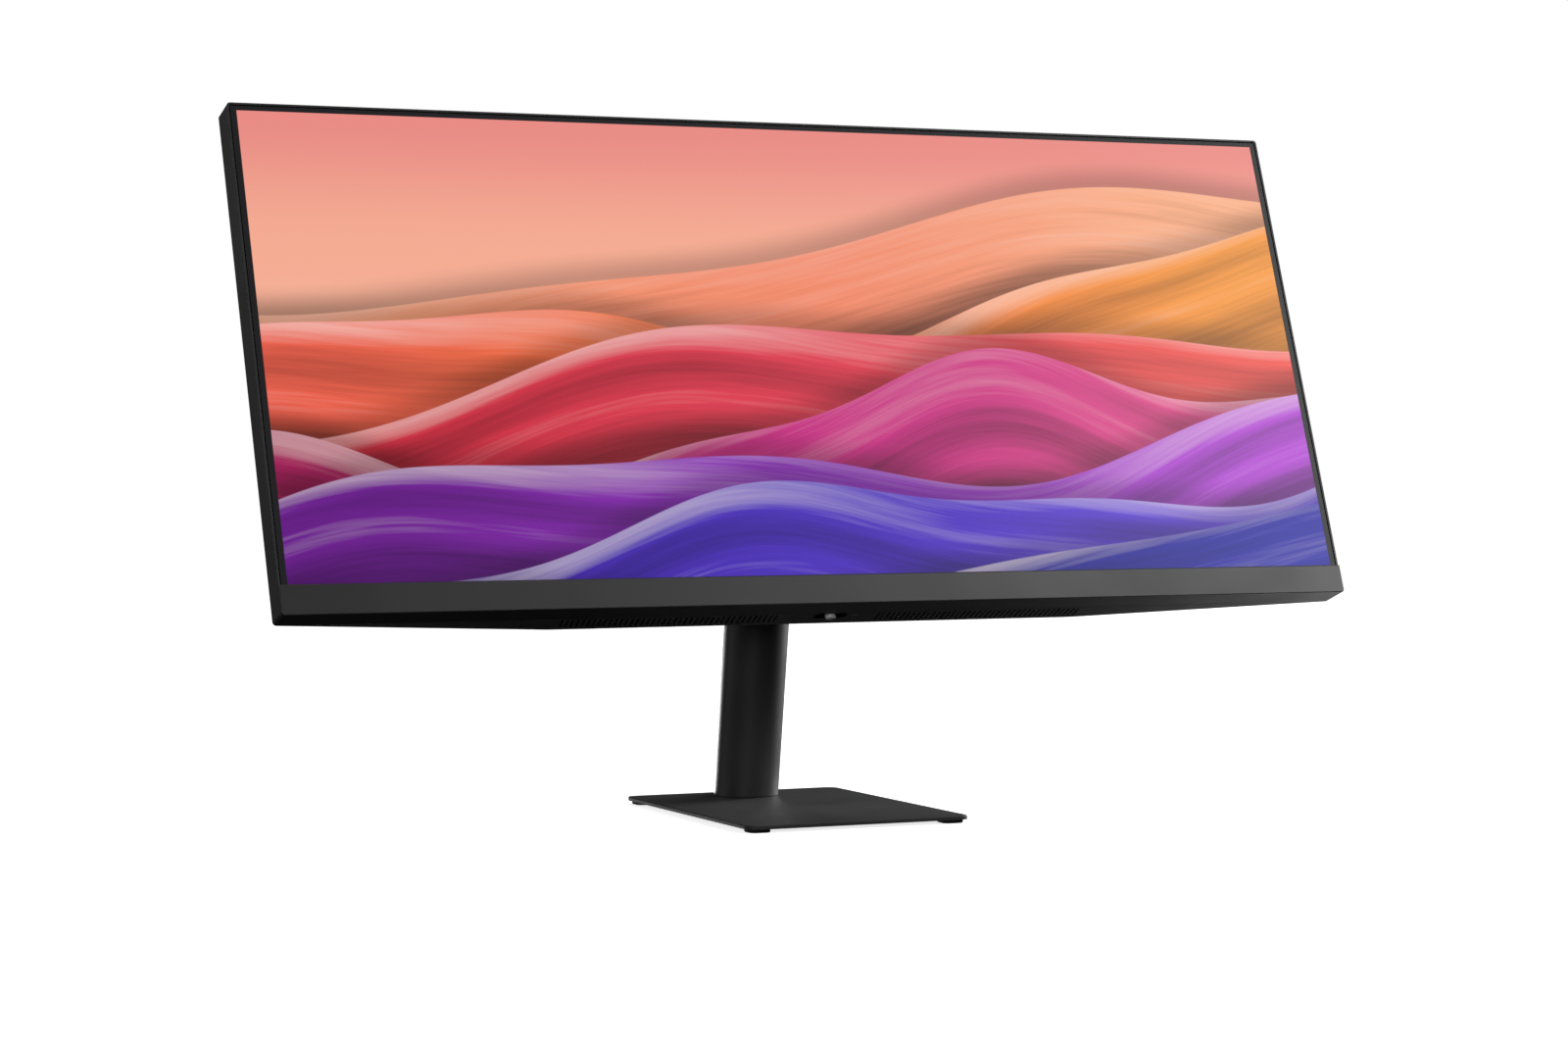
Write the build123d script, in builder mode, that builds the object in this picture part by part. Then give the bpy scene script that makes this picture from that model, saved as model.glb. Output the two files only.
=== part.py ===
from build123d import *
import math
import os

# A 34-inch, 21:9 desktop monitor on a round column stand, tipped back to its stop.
# Frame: origin on the table under the middle of the base plate, +X to the viewer's right,
# +Y away from the viewer, +Z up. Millimetres.

os.makedirs("parts", exist_ok=True)

# ---------------------------------------------------------------- driving dimensions
# stand
FOOT_H = 2.6
PLATE_W = 170.0
PLATE_D = 225.4
PLATE_T = 2.7
PLATE_CORNER = 8.0
COLUMN_R = 23.8
COLUMN_WALL = 1.6
COLUMN_LEAN = 8.7
COLUMN_Y = 84.6
GASKET_T = 0.6
PIVOT_ABOVE_PLATE = 272.0

# display: x across, h up the glass from the chin's top edge, depth behind the glass
TILT_BACK = 20.0
GLASS_Y = -82.2
GLASS_ABOVE_PLATE = 169.0
PICTURE_W = 799.8
PICTURE_H = 337.1
SIDE_BORDER = 4.1
TOP_BORDER = 3.2
RIM_GAP = 0.9
RIM_T = 1.4
CHIN_H = 20.8
CHIN_PROUD = 2.3
CHIN_GAP = 0.7
FRAME_DEPTH = 21.0
COVER_DEPTH = 55.5
COVER_WALL = 2.2
BULGE_HALF_W = 180.0
BULGE_BOTTOM = -19.4
BULGE_TOP = 230.0
OUTER_CORNER = 2.5
BULGE_EDGE = 4.0
SEAM = 0.2

# fits and small repeated sizes
RUN = 0.05
EASY = 0.2
LOOSE = 0.3
HEX = 6
BEYOND = 1.0

# ---------------------------------------------------------------- derived places
PLATE_TOP = FOOT_H + PLATE_T
GLASS_Z = PLATE_TOP + GLASS_ABOVE_PLATE
OUTER_HALF_W = PICTURE_W / 2 + SIDE_BORDER + RIM_GAP + RIM_T
OUTER_TOP = PICTURE_H + TOP_BORDER + RIM_GAP + RIM_T
OUTER_BOTTOM = -CHIN_GAP - CHIN_H
OUTER_MID = (OUTER_TOP + OUTER_BOTTOM) / 2
OUTER_TALL = OUTER_TOP - OUTER_BOTTOM
PANEL_HALF_W = PICTURE_W / 2 + SIDE_BORDER
PANEL_TOP = PICTURE_H + TOP_BORDER

TILT_SIN = math.sin(math.radians(TILT_BACK))
TILT_COS = math.cos(math.radians(TILT_BACK))
UP_GLASS = Vector(0, TILT_SIN, TILT_COS)
BACK = Vector(0, TILT_COS, -TILT_SIN)
GLASS = Plane(origin=(0, GLASS_Y, GLASS_Z), x_dir=(1, 0, 0), z_dir=(0, -TILT_COS, TILT_SIN))

LEAN_SIN = math.sin(math.radians(COLUMN_LEAN))
LEAN_COS = math.cos(math.radians(COLUMN_LEAN))
COLUMN_UP = Vector(0, -LEAN_SIN, LEAN_COS)
COLUMN_BACK = Vector(0, LEAN_COS, LEAN_SIN)
PIVOT_Z = PLATE_TOP + PIVOT_ABOVE_PLATE
PIVOT_Y = COLUMN_Y - PIVOT_ABOVE_PLATE * LEAN_SIN / LEAN_COS
PIVOT = Vector(0, PIVOT_Y, PIVOT_Z)
PIVOT_H = GLASS.to_local_coords(PIVOT).Y
PIVOT_DEPTH = -GLASS.to_local_coords(PIVOT).Z


def at(x, h, depth):
    """The point x across, h up the glass and depth behind it."""
    return GLASS.from_local_coords(Vector(x, h, -depth))


def behind(depth):
    """Plane parallel to the glass, depth behind it, facing the viewer."""
    return GLASS.offset(-depth)


def across(x):
    """Plane square to X: its own x is depth behind the glass and its own y is h."""
    return Plane(origin=at(x, 0, 0), x_dir=BACK, z_dir=(1, 0, 0))


def along_glass(h, x=0.0, depth=0.0):
    """Plane square to the glass's height, centred at x and depth, facing up the glass."""
    return Plane(origin=at(x, h, depth), x_dir=(1, 0, 0), z_dir=UP_GLASS)


def column_plane(t):
    """Plane square to the column, t above the tilt pivot along the column's axis."""
    return Plane(origin=PIVOT + COLUMN_UP * t, x_dir=(1, 0, 0), z_dir=COLUMN_UP)


def column_side(x):
    """Plane square to X through the pivot: its own x is back from the column's axis, y is up it."""
    return Plane(origin=PIVOT + Vector(x, 0, 0), x_dir=COLUMN_BACK, z_dir=(1, 0, 0))


def slab(x_span, h_span, depth_span, corner=0.0, mode=Mode.ADD):
    """Flat block parallel to the glass, between the given limits, with rounded corners."""
    wide = x_span[1] - x_span[0]
    tall = h_span[1] - h_span[0]
    middle = ((x_span[0] + x_span[1]) / 2, (h_span[0] + h_span[1]) / 2)
    with BuildSketch(behind(depth_span[1])) as outline:
        with Locations(middle):
            if corner > 0:
                RectangleRounded(wide, tall, corner)
            else:
                Rectangle(wide, tall)
    extrude(outline.sketch, amount=depth_span[1] - depth_span[0], mode=mode)


def posts(points, radius, depth_span, mode=Mode.ADD):
    """Round posts square to the glass at the given (x, h) points."""
    with BuildSketch(behind(depth_span[1])) as outline:
        with Locations(*points):
            Circle(radius)
    extrude(outline.sketch, amount=depth_span[1] - depth_span[0], mode=mode)


def span(middle, half):
    """The limits half either side of middle."""
    return (middle - half, middle + half)


# ================================================================= STAND
# ---------------------------------------------------------------- base plate
SCREW_R = 4.0
LOCATING_PIN_X = 13.0
LOCATING_PIN_R = 2.5
PIN_POINTS = [(-LOCATING_PIN_X, COLUMN_Y), (LOCATING_PIN_X, COLUMN_Y)]
PLATE_EDGE = 0.5

with BuildPart() as base_plate:
    with BuildSketch(Plane.XY.offset(FOOT_H)):
        RectangleRounded(PLATE_W, PLATE_D, PLATE_CORNER)
    extrude(amount=PLATE_T)
    chamfer(base_plate.faces().sort_by(Axis.Z)[-1].edges(), PLATE_EDGE)
    with BuildSketch(Plane.XY.offset(FOOT_H)):
        with Locations((0, COLUMN_Y)):
            Circle(SCREW_R + LOOSE)
        with Locations(*PIN_POINTS):
            Circle(LOCATING_PIN_R + 2 * RUN)
    extrude(amount=PLATE_T, mode=Mode.SUBTRACT)
base_plate.part.label = "base_plate"
export_step(base_plate.part, "parts/base_plate.step")

# ---------------------------------------------------------------- rubber feet
PAD = 16.0
PAD_INSET = 3.0
PAD_CORNER = 5.0
PAD_EDGE = 0.4
PAD_PITCH_X = PLATE_W - 2 * PAD_INSET - PAD
PAD_PITCH_Y = PLATE_D - 2 * PAD_INSET - PAD

with BuildPart() as base_feet:
    with BuildSketch(Plane.XY):
        with GridLocations(PAD_PITCH_X, PAD_PITCH_Y, 2, 2):
            RectangleRounded(PAD, PAD, PAD_CORNER)
    extrude(amount=FOOT_H)
    chamfer(base_feet.edges().group_by(Axis.Z)[0], PAD_EDGE)
base_feet.part.label = "base_feet"
export_step(base_feet.part, "parts/base_feet.step")

# ---------------------------------------------------------------- thumb screw and its bail
HEAD_R = 10.0
HEAD_BOTTOM = 0.45
HEAD_TOP = FOOT_H - RUN
SCREW_TOP = PLATE_TOP + 24.0
HEAD_EDGE = 0.3
SCREW_TIP_EDGE = 0.8
BAIL_Z = (HEAD_BOTTOM + HEAD_TOP) / 2
BAIL_WIRE_R = 0.75
BAIL_R = HEAD_R + 1.7
BAIL_PIN_INNER = 7.5

with BuildPart() as thumb_screw:
    with BuildSketch(Plane.XY.offset(HEAD_BOTTOM)):
        with Locations((0, COLUMN_Y)):
            Circle(HEAD_R)
    extrude(amount=HEAD_TOP - HEAD_BOTTOM)
    chamfer(thumb_screw.edges().group_by(Axis.Z)[0], HEAD_EDGE)
    with BuildSketch(Plane.XY.offset(HEAD_TOP)):
        with Locations((0, COLUMN_Y)):
            Circle(SCREW_R)
    extrude(amount=SCREW_TOP - HEAD_TOP)
    chamfer(thumb_screw.edges().group_by(Axis.Z)[-1], SCREW_TIP_EDGE)
    for side in (-1, 1):
        bore_plane = Plane(origin=(side * (HEAD_R + BEYOND), COLUMN_Y, BAIL_Z), z_dir=(-side, 0, 0))
        with BuildSketch(bore_plane):
            Circle(BAIL_WIRE_R + RUN)
        extrude(amount=HEAD_R + BEYOND - BAIL_PIN_INNER + LOOSE, mode=Mode.SUBTRACT)
thumb_screw.part.label = "thumb_screw"
export_step(thumb_screw.part, "parts/thumb_screw.step")

with BuildPart() as thumb_screw_bail:
    with BuildSketch(Plane(origin=(BAIL_R, COLUMN_Y, BAIL_Z), x_dir=(1, 0, 0), z_dir=(0, -1, 0))):
        Circle(BAIL_WIRE_R)
    revolve(axis=Axis((0, COLUMN_Y, BAIL_Z), (0, 0, -1)), revolution_arc=180)
    for side in (-1, 1):
        with BuildSketch(Plane(origin=(side * BAIL_R, COLUMN_Y, BAIL_Z), z_dir=(-side, 0, 0))):
            Circle(BAIL_WIRE_R)
        extrude(amount=BAIL_R - BAIL_PIN_INNER)
        with Locations((side * BAIL_R, COLUMN_Y, BAIL_Z)):
            Sphere(BAIL_WIRE_R)
thumb_screw_bail.part.label = "thumb_screw_bail"
export_step(thumb_screw_bail.part, "parts/thumb_screw_bail.step")

# ---------------------------------------------------------------- column tube, gasket and core
TUBE_INNER_R = COLUMN_R - COLUMN_WALL
TUBE_TOP = -12.0
TUBE_REACH = PIVOT_ABOVE_PLATE / LEAN_COS + 20.0
TUBE_FOOT_Z = PLATE_TOP + GASKET_T
GASKET_INSET = 0.5
CORE_TALL = 38.0
CORE_R = TUBE_INNER_R - 2 * RUN
YOKE_SCREW_T = -45.0
YOKE_SCREW_R = 2.0
YOKE_SCREW_HEAD_R = 3.4
YOKE_SCREW_REACH = 9.0
PIN_SUNK = 0.3
PIN_ROOT = 5.0
SCREW_BORE_SPARE = 2.0


def tube_side(side, out):
    """Plane facing along X at a yoke screw, out from the column's axis on one side."""
    screw_height = PIVOT + COLUMN_UP * YOKE_SCREW_T
    return Plane(origin=screw_height + Vector(side * out, 0, 0), z_dir=(side, 0, 0))


with BuildPart() as column_tube:
    with BuildSketch(column_plane(TUBE_TOP)):
        Circle(COLUMN_R)
        Circle(TUBE_INNER_R, mode=Mode.SUBTRACT)
    extrude(amount=-TUBE_REACH)
    split(bisect_by=Plane.XY.offset(TUBE_FOOT_Z), keep=Keep.TOP)
    for side in (-1, 1):
        with BuildSketch(tube_side(side, TUBE_INNER_R - BEYOND)):
            Circle(YOKE_SCREW_HEAD_R + 2 * RUN)
        extrude(amount=COLUMN_WALL + 2 * BEYOND, mode=Mode.SUBTRACT)
column_tube.part.label = "column_tube"
export_step(column_tube.part, "parts/column_tube.step")

with BuildPart() as column_gasket:
    with BuildSketch(column_plane(TUBE_TOP)):
        Circle(COLUMN_R - GASKET_INSET)
        Circle(TUBE_INNER_R, mode=Mode.SUBTRACT)
    extrude(amount=-TUBE_REACH)
    split(bisect_by=Plane.XY.offset(TUBE_FOOT_Z), keep=Keep.BOTTOM)
    split(bisect_by=Plane.XY.offset(PLATE_TOP), keep=Keep.TOP)
column_gasket.part.label = "column_gasket"
export_step(column_gasket.part, "parts/column_gasket.step")

with BuildPart() as column_core:
    with BuildSketch(column_plane(CORE_TALL - PIVOT_ABOVE_PLATE / LEAN_COS)):
        Circle(CORE_R)
    extrude(amount=-TUBE_REACH / 3)
    split(bisect_by=Plane.XY.offset(PLATE_TOP), keep=Keep.TOP)
    with BuildSketch(Plane.XY.offset(PLATE_TOP - PLATE_T + PIN_SUNK)):
        with Locations(*PIN_POINTS):
            Circle(LOCATING_PIN_R)
    extrude(amount=PLATE_T + PIN_ROOT)
    with BuildSketch(Plane.XY.offset(PLATE_TOP)):
        with Locations((0, COLUMN_Y)):
            Circle(SCREW_R + RUN)
    extrude(amount=SCREW_TOP - PLATE_TOP + SCREW_BORE_SPARE, mode=Mode.SUBTRACT)
column_core.part.label = "column_core"
export_step(column_core.part, "parts/column_core.step")

# ---------------------------------------------------------------- hinge yoke
SHAFT_R = 4.0
EAR_INNER = 10.0
EAR_T = 3.0
EAR_HALF_D = 10.0
YOKE_TOP = -14.0
YOKE_FLANGE_TOP = -40.0
YOKE_FLANGE_BOTTOM = -50.0
SHAFT_PRESS = 0.02
YOKE_THREAD_DEEP = 12.0

with BuildPart() as hinge_yoke:
    with BuildSketch(column_plane(YOKE_FLANGE_BOTTOM)):
        Circle(CORE_R)
    extrude(amount=YOKE_FLANGE_TOP - YOKE_FLANGE_BOTTOM)
    with BuildSketch(column_plane(YOKE_FLANGE_TOP)):
        Rectangle(2 * (EAR_INNER + EAR_T), 2 * EAR_HALF_D)
    extrude(amount=YOKE_TOP - YOKE_FLANGE_TOP)
    for ear_x in (EAR_INNER, -EAR_INNER - EAR_T):
        with BuildSketch(column_side(ear_x)):
            with Locations((0, YOKE_TOP / 2)):
                Rectangle(2 * EAR_HALF_D, -YOKE_TOP)
            Circle(EAR_HALF_D)
            Circle(SHAFT_R + SHAFT_PRESS, mode=Mode.SUBTRACT)
        extrude(amount=EAR_T)
    for side in (-1, 1):
        with BuildSketch(tube_side(side, COLUMN_R)):
            Circle(YOKE_SCREW_R)
        extrude(amount=-YOKE_THREAD_DEEP, mode=Mode.SUBTRACT)
hinge_yoke.part.label = "hinge_yoke"
export_step(hinge_yoke.part, "parts/hinge_yoke.step")

# ---------------------------------------------------------------- shaft, washers and nuts
SHAFT_HALF = 19.5
SHAFT_EDGE = 0.6
WASHER_T = 1.2
WASHER_R = 7.0
NUT_T = 3.8
NUT_R = 7.0
WASHER_X = EAR_INNER + EAR_T
NUT_X = WASHER_X + WASHER_T

with BuildPart() as hinge_shaft:
    with BuildSketch(column_side(-SHAFT_HALF)):
        Circle(SHAFT_R)
    extrude(amount=2 * SHAFT_HALF)
    chamfer(hinge_shaft.edges().group_by(Axis.X)[0], SHAFT_EDGE)
    chamfer(hinge_shaft.edges().group_by(Axis.X)[-1], SHAFT_EDGE)
hinge_shaft.part.label = "hinge_shaft"
export_step(hinge_shaft.part, "parts/hinge_shaft.step")

with BuildPart() as friction_washers:
    for washer_x in (WASHER_X, -WASHER_X - WASHER_T):
        with BuildSketch(column_side(washer_x)):
            Circle(WASHER_R)
            Circle(SHAFT_R + RUN, mode=Mode.SUBTRACT)
        extrude(amount=WASHER_T)
friction_washers.part.label = "friction_washers"
export_step(friction_washers.part, "parts/friction_washers.step")

with BuildPart() as hinge_nuts:
    for nut_x in (NUT_X, -NUT_X - NUT_T):
        with BuildSketch(column_side(nut_x)):
            RegularPolygon(NUT_R, HEX)
            Circle(SHAFT_R + RUN, mode=Mode.SUBTRACT)
        extrude(amount=NUT_T)
hinge_nuts.part.label = "hinge_nuts"
export_step(hinge_nuts.part, "parts/hinge_nuts.step")

# ---------------------------------------------------------------- domed hinge cover
WINDOW_HALF_W = EAR_INNER + 0.6
WINDOW_BOTTOM = -8.5
WINDOW_TOP = 20.5
WINDOW_FRONT = -COLUMN_R - 2 * BEYOND
WINDOW_REAR = -6.0

with BuildPart() as hinge_cover:
    with BuildSketch(column_side(0)):
        with BuildLine():
            Polyline((TUBE_INNER_R, 0), (TUBE_INNER_R, TUBE_TOP), (COLUMN_R, TUBE_TOP), (COLUMN_R, 0))
            CenterArc((0, 0), COLUMN_R, 0, 90)
            Line((0, COLUMN_R), (0, TUBE_INNER_R))
            CenterArc((0, 0), TUBE_INNER_R, 0, 90)
        make_face()
    revolve(axis=Axis(PIVOT, COLUMN_UP))
    with BuildSketch(column_side(-WINDOW_HALF_W)):
        with BuildLine():
            Polyline((WINDOW_FRONT, WINDOW_BOTTOM), (WINDOW_REAR, WINDOW_BOTTOM),
                     (WINDOW_REAR, WINDOW_TOP), (WINDOW_FRONT, WINDOW_TOP), close=True)
        make_face()
    extrude(amount=2 * WINDOW_HALF_W, mode=Mode.SUBTRACT)
hinge_cover.part.label = "hinge_cover"
export_step(hinge_cover.part, "parts/hinge_cover.step")

# ---------------------------------------------------------------- yoke screws through the tube
# The heads sit in holes through the tube's left and right sides, behind the display.
HEX_KEY_R = 1.4
HEX_KEY_DEEP = 1.2

with BuildPart() as yoke_screws:
    for side in (-1, 1):
        with BuildSketch(tube_side(side, CORE_R)):
            Circle(YOKE_SCREW_R - RUN)
        extrude(amount=-YOKE_SCREW_REACH)
        with BuildSketch(tube_side(side, CORE_R)):
            Circle(YOKE_SCREW_HEAD_R)
        extrude(amount=COLUMN_WALL)
        with BuildSketch(tube_side(side, CORE_R + COLUMN_WALL)):
            RegularPolygon(HEX_KEY_R, HEX)
        extrude(amount=-HEX_KEY_DEEP, mode=Mode.SUBTRACT)
yoke_screws.part.label = "yoke_screws"
export_step(yoke_screws.part, "parts/yoke_screws.step")

# ================================================================= DISPLAY
# ---------------------------------------------------------------- outer frame
SHELF_FRONT = 1.6
SHELF_REAR = 2.8
SHELF_HALF_W = PICTURE_W / 2 + 1.1
SHELF_BOTTOM = -3.0
SHELF_TOP = PICTURE_H + 1.0
LIP_PROUD = 0.3
INNER_CORNER = 1.2
SHELF_CORNER = 1.0
FRAME_INNER_HALF_W = OUTER_HALF_W - RIM_T
FRAME_INNER_TOP = OUTER_TOP - RIM_T
FRAME_INNER_BOTTOM = OUTER_BOTTOM + 1.5
FRAME_X = (-OUTER_HALF_W, OUTER_HALF_W)
FRAME_H = (OUTER_BOTTOM, OUTER_TOP)
INNER_X = (-FRAME_INNER_HALF_W, FRAME_INNER_HALF_W)
INNER_H = (FRAME_INNER_BOTTOM, FRAME_INNER_TOP)

with BuildPart() as outer_frame:
    slab(FRAME_X, FRAME_H, (-LIP_PROUD, FRAME_DEPTH), OUTER_CORNER)
    slab(INNER_X, INNER_H, (-LIP_PROUD, SHELF_FRONT), INNER_CORNER, Mode.SUBTRACT)
    slab(span(0, SHELF_HALF_W), (SHELF_BOTTOM, SHELF_TOP), (0, FRAME_DEPTH), SHELF_CORNER, Mode.SUBTRACT)
    slab(INNER_X, INNER_H, (SHELF_REAR, FRAME_DEPTH), INNER_CORNER, Mode.SUBTRACT)
    # the lip steps back behind the chin
    slab(span(0, OUTER_HALF_W + BEYOND), (OUTER_BOTTOM - BEYOND, -CHIN_GAP + SEAM),
         (-LIP_PROUD - BEYOND, 0), 0, Mode.SUBTRACT)
outer_frame.part.label = "outer_frame"
export_step(outer_frame.part, "parts/outer_frame.step")

# ---------------------------------------------------------------- bottom bezel (chin)
CHIN_EDGE = 0.6
CHIN_RIB_T = 1.4
CHIN_RIB_DEPTH = 1.5
CHIN_RIB_BOTTOM = FRAME_INNER_BOTTOM + LOOSE
CHIN_RIB_END = 6.0
FRONT_TO_BACK = Axis(at(0, 0, 0), BACK)
UPWARDS = Axis(at(0, 0, 0), UP_GLASS)

with BuildPart() as bottom_bezel:
    slab(FRAME_X, (OUTER_BOTTOM, -CHIN_GAP), (-CHIN_PROUD, -SEAM / 2), 0)
    corners = bottom_bezel.edges().filter_by(FRONT_TO_BACK).group_by(UPWARDS)
    fillet(corners[0], OUTER_CORNER)
    front_face = bottom_bezel.faces().sort_by(FRONT_TO_BACK)[0]
    fillet(front_face.edges(), CHIN_EDGE)
    slab(span(0, PANEL_HALF_W - CHIN_RIB_END), (CHIN_RIB_BOTTOM, CHIN_RIB_BOTTOM + CHIN_RIB_T),
         (-SEAM / 2, CHIN_RIB_DEPTH))
bottom_bezel.part.label = "bottom_bezel"
export_step(bottom_bezel.part, "parts/bottom_bezel.step")

# ---------------------------------------------------------------- panel stack, front to back
PANEL_T = 1.4
PANEL_BOTTOM = -7.0
PANEL_CORNER = 0.8
STACK_INSET = 1.4
STACK_HALF_W = PANEL_HALF_W - STACK_INSET
STACK_X = (-STACK_HALF_W, STACK_HALF_W)
STACK_BOTTOM = -4.0
STACK_H = (STACK_BOTTOM, PANEL_TOP - STACK_INSET)
FILM_DEPTH = (2.9, 3.5)
GUIDE_DEPTH = (3.6, 6.6)
REFLECTOR_DEPTH = (6.7, 7.2)
PAN_FRONT = 2.9
PAN_FLOOR = 7.4
PAN_REAR = 8.2
PAN_WALL = 0.8
PAN_BOTTOM = -12.0
PAN_HALF_W = PANEL_HALF_W - 2 * RUN
PAN_CORNER = 1.0

with BuildPart() as lcd_panel:
    slab(span(0, PANEL_HALF_W), (PANEL_BOTTOM, PANEL_TOP), (0, PANEL_T), PANEL_CORNER)
lcd_panel.part.label = "lcd_panel"
export_step(lcd_panel.part, "parts/lcd_panel.step")

with BuildPart() as optical_films:
    slab(STACK_X, STACK_H, FILM_DEPTH)
optical_films.part.label = "optical_films"
export_step(optical_films.part, "parts/optical_films.step")

with BuildPart() as light_guide:
    slab(STACK_X, STACK_H, GUIDE_DEPTH)
light_guide.part.label = "light_guide"
export_step(light_guide.part, "parts/light_guide.step")

with BuildPart() as reflector_sheet:
    slab(STACK_X, STACK_H, REFLECTOR_DEPTH)
reflector_sheet.part.label = "reflector_sheet"
export_step(reflector_sheet.part, "parts/reflector_sheet.step")

LED_COUNT = 60
LED_PITCH = 13.0
LED_STRIP_HALF_W = 395.0
LED_STRIP_H = (-7.4, -6.2)
LED_STRIP_DEPTH = (3.6, 7.2)
LED_SIZE = (5.6, 2.6)
LED_DEPTH = 5.4
LED_H = (-6.2, -4.3)

with BuildPart() as led_bar:
    slab(span(0, LED_STRIP_HALF_W), LED_STRIP_H, LED_STRIP_DEPTH)
    with BuildSketch(along_glass(LED_H[0], 0, LED_DEPTH)):
        with GridLocations(LED_PITCH, 1, LED_COUNT, 1):
            Rectangle(*LED_SIZE)
    extrude(amount=LED_H[1] - LED_H[0])
led_bar.part.label = "led_bar"
export_step(led_bar.part, "parts/led_bar.step")

COVER_SCREW_POINTS = [(-165, 0), (165, 0), (-165, 212), (165, 212)]
BOSS_END = 40.0
POST_R = 4.0
COVER_SCREW_R = 1.5
POST_SOLID = 6.0

with BuildPart() as panel_pan:
    slab(span(0, PAN_HALF_W), (PAN_BOTTOM, PANEL_TOP), (PAN_FRONT, PAN_REAR), PAN_CORNER)
    slab(span(0, PAN_HALF_W - PAN_WALL), (PAN_BOTTOM + PAN_WALL, PANEL_TOP - PAN_WALL),
         (PAN_FRONT, PAN_FLOOR), PAN_CORNER / 2, Mode.SUBTRACT)
    posts(COVER_SCREW_POINTS, POST_R, (PAN_REAR, BOSS_END))
    posts(COVER_SCREW_POINTS, COVER_SCREW_R + 2 * RUN, (PAN_REAR + POST_SOLID, BOSS_END), Mode.SUBTRACT)
panel_pan.part.label = "panel_pan"
export_step(panel_pan.part, "parts/panel_pan.step")

SOURCE_HALF_W = 155.0
SOURCE_H = (-10.0, 8.0)
SOURCE_REAR = PAN_REAR + 1.2
SOURCE_CORNER = 1.0
DRIVER_X = (90.0, 140.0)
DRIVER_H = (-4.0, 3.0)
DRIVER_TALL = 2.0

with BuildPart() as source_board:
    slab(span(0, SOURCE_HALF_W), SOURCE_H, (PAN_REAR, SOURCE_REAR), SOURCE_CORNER)
    slab(DRIVER_X, DRIVER_H, (SOURCE_REAR, SOURCE_REAR + DRIVER_TALL))
source_board.part.label = "source_board"
export_step(source_board.part, "parts/source_board.step")

# ---------------------------------------------------------------- main board on its carrier
CARRIER_X = (69.0, 179.0)
CARRIER_H = (66.0, 196.0)
CARRIER_REAR = 25.0
SHEET_T = 1.0
BOARD_X = (72.0, 176.0)
BOARD_H = (70.0, 192.0)
BOARD_FRONT = 28.0
BOARD_REAR = 29.6
STANDOFF_POINTS = [(76, 74), (172, 74), (76, 188), (172, 188)]
STANDOFF_R = 2.5
PROCESSOR = ((112.0, 140.0), (140.0, 168.0), 2.2)
MEMORY = ((148.0, 162.0), (144.0, 156.0), 1.2)
LOWER_COIL = ((84.0, 96.0), (140.0, 152.0), 5.0)
UPPER_COIL = ((84.0, 96.0), (160.0, 172.0), 5.0)
CARRIER_CORNER = 3.0
BOARD_CORNER = 1.5
CHIP_CORNER = 0.5

with BuildPart() as board_carrier:
    slab(CARRIER_X, CARRIER_H, (PAN_REAR, CARRIER_REAR), CARRIER_CORNER)
    slab((CARRIER_X[0] + SHEET_T, CARRIER_X[1] - SHEET_T),
         (CARRIER_H[0] + SHEET_T, CARRIER_H[1] - SHEET_T),
         (PAN_REAR, CARRIER_REAR - SHEET_T), CARRIER_CORNER - SHEET_T, Mode.SUBTRACT)
board_carrier.part.label = "board_carrier"
export_step(board_carrier.part, "parts/board_carrier.step")

with BuildPart() as board_standoffs:
    posts(STANDOFF_POINTS, STANDOFF_R, (CARRIER_REAR, BOARD_FRONT))
board_standoffs.part.label = "board_standoffs"
export_step(board_standoffs.part, "parts/board_standoffs.step")

with BuildPart() as main_board:
    slab(BOARD_X, BOARD_H, (BOARD_FRONT, BOARD_REAR), BOARD_CORNER)
    for chip_x, chip_h, chip_t in (PROCESSOR, MEMORY, LOWER_COIL, UPPER_COIL):
        slab(chip_x, chip_h, (BOARD_REAR, BOARD_REAR + chip_t), CHIP_CORNER)
main_board.part.label = "main_board"
export_step(main_board.part, "parts/main_board.step")

# ---------------------------------------------------------------- sockets, facing backwards
PORT_H = 108.0
PORT_REAR = 44.0
RECESS_X = (76.0, 172.0)
RECESS_H = (96.0, 120.0)
RECESS_FLOOR = 43.5
RECESS_CORNER = 3.0
HDMI_X = (88.0, 108.0)
HDMI_HALF = (7.6, 2.9)
DISPLAY_PORT_X = 129.0
DISPLAY_PORT_HALF = (8.6, 2.9)
DC_X = 149.0
DC_HALF = (5.5, 5.5)
DC_R = 3.0
AUDIO_X = 164.0
AUDIO_R = 4.0
AUDIO_BORE_R = 1.75
AUDIO_BORE_DEPTH = 13.0
SHELL_T = 0.5
SHELL_CORNER = 0.8
HDMI_DEEP = 10.0
DISPLAY_PORT_DEEP = 9.0
TONGUE_INSET = 2.0
TONGUE_SHORT = 1.5
TONGUE_HALF_T = 0.7
DC_DEEP = 11.0
DC_PIN_R = 0.9
DC_CORNER = 1.0


def socket_shell(x, half, plug_depth):
    """Sheet-metal socket on the board, open at the back, with its contact tongue."""
    floor = PORT_REAR - plug_depth
    slab(span(x, half[0]), span(PORT_H, half[1]), (BOARD_REAR, PORT_REAR), SHELL_CORNER)
    slab(span(x, half[0] - SHELL_T), span(PORT_H, half[1] - SHELL_T), (floor, PORT_REAR),
         SHELL_CORNER / 2, Mode.SUBTRACT)
    slab(span(x, half[0] - TONGUE_INSET), span(PORT_H, TONGUE_HALF_T), (floor, PORT_REAR - TONGUE_SHORT))


with BuildPart() as hdmi_ports:
    for hdmi_x in HDMI_X:
        socket_shell(hdmi_x, HDMI_HALF, HDMI_DEEP)
hdmi_ports.part.label = "hdmi_ports"
export_step(hdmi_ports.part, "parts/hdmi_ports.step")

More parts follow.
